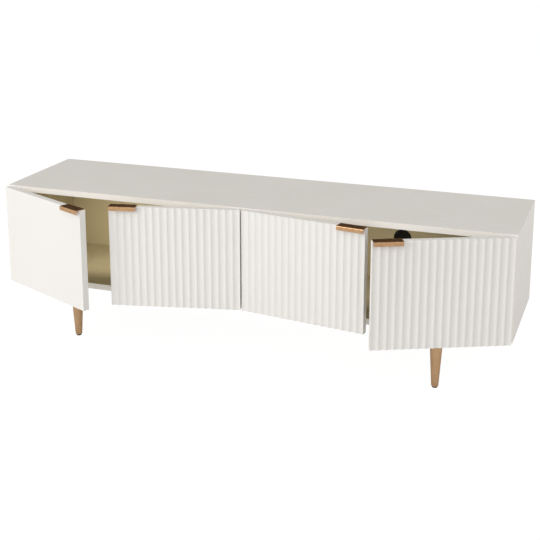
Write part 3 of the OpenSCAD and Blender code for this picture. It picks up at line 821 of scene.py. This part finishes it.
def screw_master(head_r, shank_r, head_h, length, sunk):
    """A cross-recess screw with the top of its head at z = 0."""
    shank = [(0, -length), (shank_r * 0.5, -length), (shank_r, 2 * shank_r - length)]
    if sunk:
        corners = shank + [(shank_r, -head_h), (head_r, -0.15 * MM), (head_r, 0), (0, 0)]
        radii = [0] * len(corners)
    else:
        corners = shank + [(shank_r, -head_h), (head_r, -head_h), (head_r, 0), (0, 0)]
        radii = [0, 0, 0, 0, 0.15 * MM, head_h * 0.6, 0]
    body = piece_from("master", lathe(rounded(corners, radii), steps=32), zinc)
    recess = piece_from("recess", cross_cutter(head_r * 1.15, head_h * 0.7), zinc)
    return carve(body, [recess])


def set_copies(name, body, master, places):
    """One piece made of copies of the master, in place of a CAD piece."""
    bm = bmesh.new()
    for k, place in enumerate(places):
        fresh = master.data.copy()
        fresh.transform(place @ Matrix.Rotation(TURN_APART * k, 4, "Z"))
        bm.from_mesh(fresh)
        bpy.data.meshes.remove(fresh)
    piece = piece_from(name + "_set", bm, master.data.materials[0])
    bpy.data.objects.remove(master)
    soften(piece, 0.08, turn=35)
    return stand_for(piece, body, name)


def set_screws(name, body, axis, head_r, shank_r, head_h, sunk=False):
    found = seats(name, axis)
    master = screw_master(head_r * MM, shank_r * MM, head_h * MM, found[0][1], sunk)
    set_copies(name, body, master, [place for place, _ in found])
    return len(found)


count = set_screws("hinge_plate_screws", "cabinet", (1, 0, 0), *WOOD_SCREW)
count += set_screws("hinge_arm_screws", "cabinet", (1, 0, 0), *ARM_SCREW)
count += set_screws("leg_plate_screws", "cabinet", (0, 0, 1), *WOOD_SCREW)
for door in doors:
    across = door_frame(door).col[1].to_3d()
    count += set_screws(door + "_cup_screws", door, across, *WOOD_SCREW)
    count += set_screws(door + "_pull_screws", door, across, *SUNK_SCREW, sunk=True)
print("screws set:", count)

# %% [markdown]
# ## Cam discs and door stops
#
# Inside the cabinet each upright is drawn tight by cam discs, seen as bright round faces
# with a pressed ring and a cross. The doors close on small clear domes. Both are lathe work
# again, set at their places in the same way as the screws.

# %% Turn the cam discs and the stops
CAM_R, STOP_R = 7.5 * MM, 4 * MM


def cam_master(radius, length):
    ring = radius * 0.78
    corners = [(0, -length), (radius, -length), (radius, 0), (ring + 0.5 * MM, 0),
               (ring + 0.2 * MM, -0.4 * MM), (ring - 0.2 * MM, -0.4 * MM),
               (ring - 0.5 * MM, 0), (0, 0)]
    turned = rounded(corners, [0, 0, 0.3 * MM, 0, 0, 0, 0, 0])
    body = piece_from("master", lathe(turned), zinc)
    return carve(body, [piece_from("recess", cross_cutter(radius * 0.9, 2 * MM), zinc)])


def towards_its_bay(centre):
    return 1 if centre.x < inside_low.x / 2 else -1


discs = seats("cam_locks", (1, 0, 0), towards_its_bay)
set_copies("cam_locks", "cabinet", cam_master(CAM_R, discs[0][1]), [place for place, _ in discs])
for door in doors:
    stops = seats(door + "_bumpers", door_frame(door).col[1].to_3d(), lambda centre: 1)
    height = stops[0][1]
    outline = [(0, -height), (STOP_R, -height), (STOP_R, 0), (0, 0)]
    dome = rounded(outline, [0, 0, height * 0.85, 0], 10)
    master = piece_from("master", lathe(dome), rubber)
    set_copies(door + "_bumpers", door, master, [place for place, _ in stops])
print("cam discs:", len(discs), "and stops:", 2 * len(doors))

# %% [markdown]
# ## The studio
#
# A large pale floor runs under the cabinet and far behind it. The light is a soft key from
# the front left, a weaker lamp from behind on the right, and a world that is bright in
# front, a little dimmer on the right and overhead, and dim behind. The dim back keeps the
# glossy top from washing out and gives the brass its dark side. Two small lamps stand for
# the light that falls in through the open doors. For the camera alone the floor is lifted
# towards white, as on a light table.

# %% Floor
FLOOR_GLOW, FLOOR_LIFT = 1.08, 0.88


def pale_floor():
    bm = bmesh.new()
    bmesh.ops.create_grid(bm, x_segments=8, y_segments=8, size=30)
    material = bpy.data.materials.new("pale_floor")
    material.use_nodes = True
    tree = material.node_tree
    skin = tree.nodes["Principled BSDF"]
    skin.inputs["Base Color"].default_value = (0.80, 0.79, 0.78, 1)
    skin.inputs["Roughness"].default_value = 0.9
    skin.inputs["Specular IOR Level"].default_value = 0.1
    glow = add(tree, "Emission", {"Color": (1.0, 1.0, 1.0), "Strength": FLOOR_GLOW})
    lift = times(tree, add(tree, "LightPath").outputs["Is Camera Ray"], FLOOR_LIFT)
    mixed = add(tree, "MixShader", {0: lift, 1: skin.outputs[0], 2: glow.outputs[0]})
    feed(tree, tree.nodes["Material Output"].inputs[0], mixed.outputs[0])
    floor = piece_from("floor", bm, material)
    return floor


floor = pale_floor()
print("floor at z =", floor.location.z)

# %% World and lamps
SKY_FRONT = (0.98, 0.975, 0.965)
SKY_RIGHT = (0.80, 0.795, 0.79)
SKY_BACK = (0.150, 0.105, 0.065)
SKY_TOP = (0.80, 0.795, 0.78)
SKY_SEEN = (0.93, 0.93, 0.925)


def studio_world():
    world = bpy.data.worlds.new("studio")
    bpy.context.scene.world = world
    world.use_nodes = True
    tree = world.node_tree
    way = add(tree, "SeparateXYZ", {0: add(tree, "TexCoord").outputs["Generated"]}).outputs
    behind = between(tree, way[1], 0.0, 1.0, -0.15, 0.70)
    overhead = between(tree, way[2], 0.0, 1.0, 0.50, 0.95)
    rightward = between(tree, way[0], 0.0, 1.0, 0.1, 0.9)
    near = choose(tree, rightward, SKY_FRONT, SKY_RIGHT)
    ring = choose(tree, behind, near, SKY_BACK)
    lit = choose(tree, overhead, ring, SKY_TOP)
    seen = add(tree, "LightPath").outputs["Is Camera Ray"]
    feed(tree, tree.nodes["Background"].inputs["Color"], choose(tree, seen, lit, SKY_SEEN))
    return world


def soft_box(name, place, aim, width, height, power, colour):
    data = bpy.data.lights.new(name, "AREA")
    data.shape = "RECTANGLE"
    data.size, data.size_y = width, height
    data.energy = power
    data.color = colour
    lamp = bpy.data.objects.new(name, data)
    bpy.context.scene.collection.objects.link(lamp)
    lamp.location = place
    lamp.rotation_euler = (Vector(aim) - Vector(place)).to_track_quat("-Z", "Y").to_euler()
    return lamp


studio_world()
key = soft_box("key", (-3.2, -4.2, 2.4), (0, 0, 0.3), 3.0, 2.4, 90, (1.0, 0.985, 0.965))
rim = soft_box("rim", (3.4, 2.8, 1.8), (0.4, 0, 0.3), 2.4, 1.8, 38, (1.0, 0.98, 0.96))
bpy.context.scene.view_settings.view_transform = "Standard"
BAY_WATTS = {"left": 0.60, "right": 0.32}
BAY_LEFTWARD, BAY_DEEP, BAY_RAISED = 0.06, 0.06, 0.03
BAY_AIM_LEFT, BAY_AIM_BEHIND, BAY_AIM_DOWN = 0.2, 1.0, 0.45
BAY_LIGHT = (1.0, 0.97, 0.90)
middle = (inside_low.z + inside_high.z) / 2
bay_box = (inside_high.x * 0.6, (inside_high.z - inside_low.z) * 0.5)
for side, label in ((-1, "left"), (1, "right")):
    across = side * inside_high.x / 2 - BAY_LEFTWARD
    place = (across, inside_low.y + BAY_DEEP, middle + BAY_RAISED)
    aim = (across - BAY_AIM_LEFT, BAY_AIM_BEHIND, middle - BAY_AIM_DOWN)
    lamp = soft_box("bay_" + label, place, aim, *bay_box, BAY_WATTS[label], BAY_LIGHT)
    lamp.data.spread = math.radians(125)
    lamp.visible_camera = False
    lamp.visible_glossy = False
print("key", key.data.energy, "W, rim", rim.data.energy, "W, bays", BAY_WATTS)
